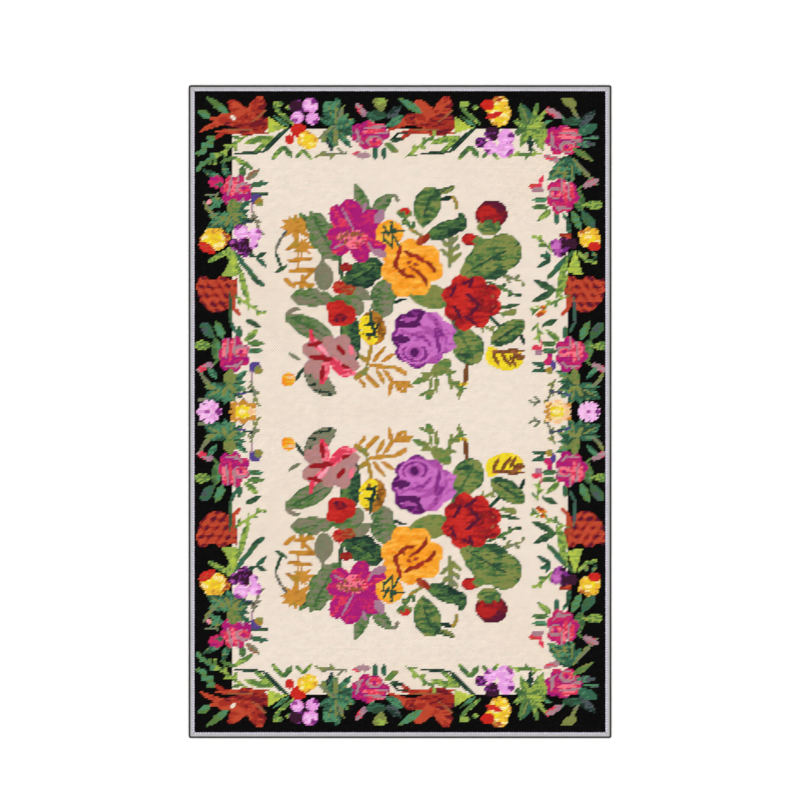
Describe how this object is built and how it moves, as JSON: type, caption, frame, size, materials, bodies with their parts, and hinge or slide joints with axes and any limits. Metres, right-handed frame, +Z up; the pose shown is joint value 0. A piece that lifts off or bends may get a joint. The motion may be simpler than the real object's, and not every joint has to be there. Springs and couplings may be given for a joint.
{
  "type": "needlepoint area rug",
  "caption": "Flat rectangular needlepoint rug with a mitred binding and a corded edge, to lie on a floor.",
  "frame": {"origin": "on the floor under the middle of the rug", "axes": "+X across the width, +Y along the length, +Z up out of the stitched face"},
  "size_m": [1, 1.544, 0.0057],
  "materials": {
    "stitched_wool": "matte tent-stitched wool in many colours",
    "binding_tape": "matte pale grey overcast tape",
    "edge_cord": "matte dark grey twisted cord"
  },
  "bodies": {
    "root": {"needlepoint_panel": "stitched_wool", "binding_left": "binding_tape", "binding_right": "binding_tape", "binding_near": "binding_tape", "binding_far": "binding_tape", "edge_cord": "edge_cord"}
  },
  "joints": []
}
